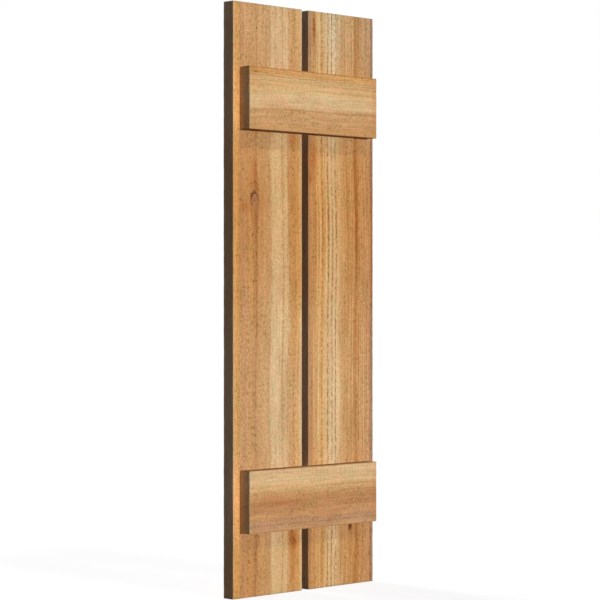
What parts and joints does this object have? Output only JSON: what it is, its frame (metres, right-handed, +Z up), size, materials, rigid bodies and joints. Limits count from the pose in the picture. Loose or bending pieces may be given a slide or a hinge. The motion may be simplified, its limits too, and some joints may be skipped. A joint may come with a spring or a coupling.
{
  "type": "board and batten shutter",
  "caption": "Spaced board and batten shutter: upright rough-sawn cedar boards set a little apart and joined by level battens on their front, to hang flat on a wall beside a window.",
  "frame": {"origin": "on the wall plane, at the middle of the left board's flat back face, half way up the shutter and half way across that board", "axes": "+X runs along the face from the left board to the right board as seen from the front, +Y points from the front into the wall, +Z is up along the boards"},
  "size_m": [0.2794, 0.0381, 0.8128],
  "materials": {
    "cedar": "matte",
    "zinc_plated_steel": "satin"
  },
  "bodies": {
    "root": {"left_board": "cedar", "right_board": "cedar", "upper_batten": "cedar", "lower_batten": "cedar", "upper_left_outer_screw": "zinc_plated_steel", "upper_left_inner_screw": "zinc_plated_steel", "upper_right_outer_screw": "zinc_plated_steel", "upper_right_inner_screw": "zinc_plated_steel", "lower_left_outer_screw": "zinc_plated_steel", "lower_left_inner_screw": "zinc_plated_steel", "lower_right_outer_screw": "zinc_plated_steel", "lower_right_inner_screw": "zinc_plated_steel"}
  },
  "joints": []
}
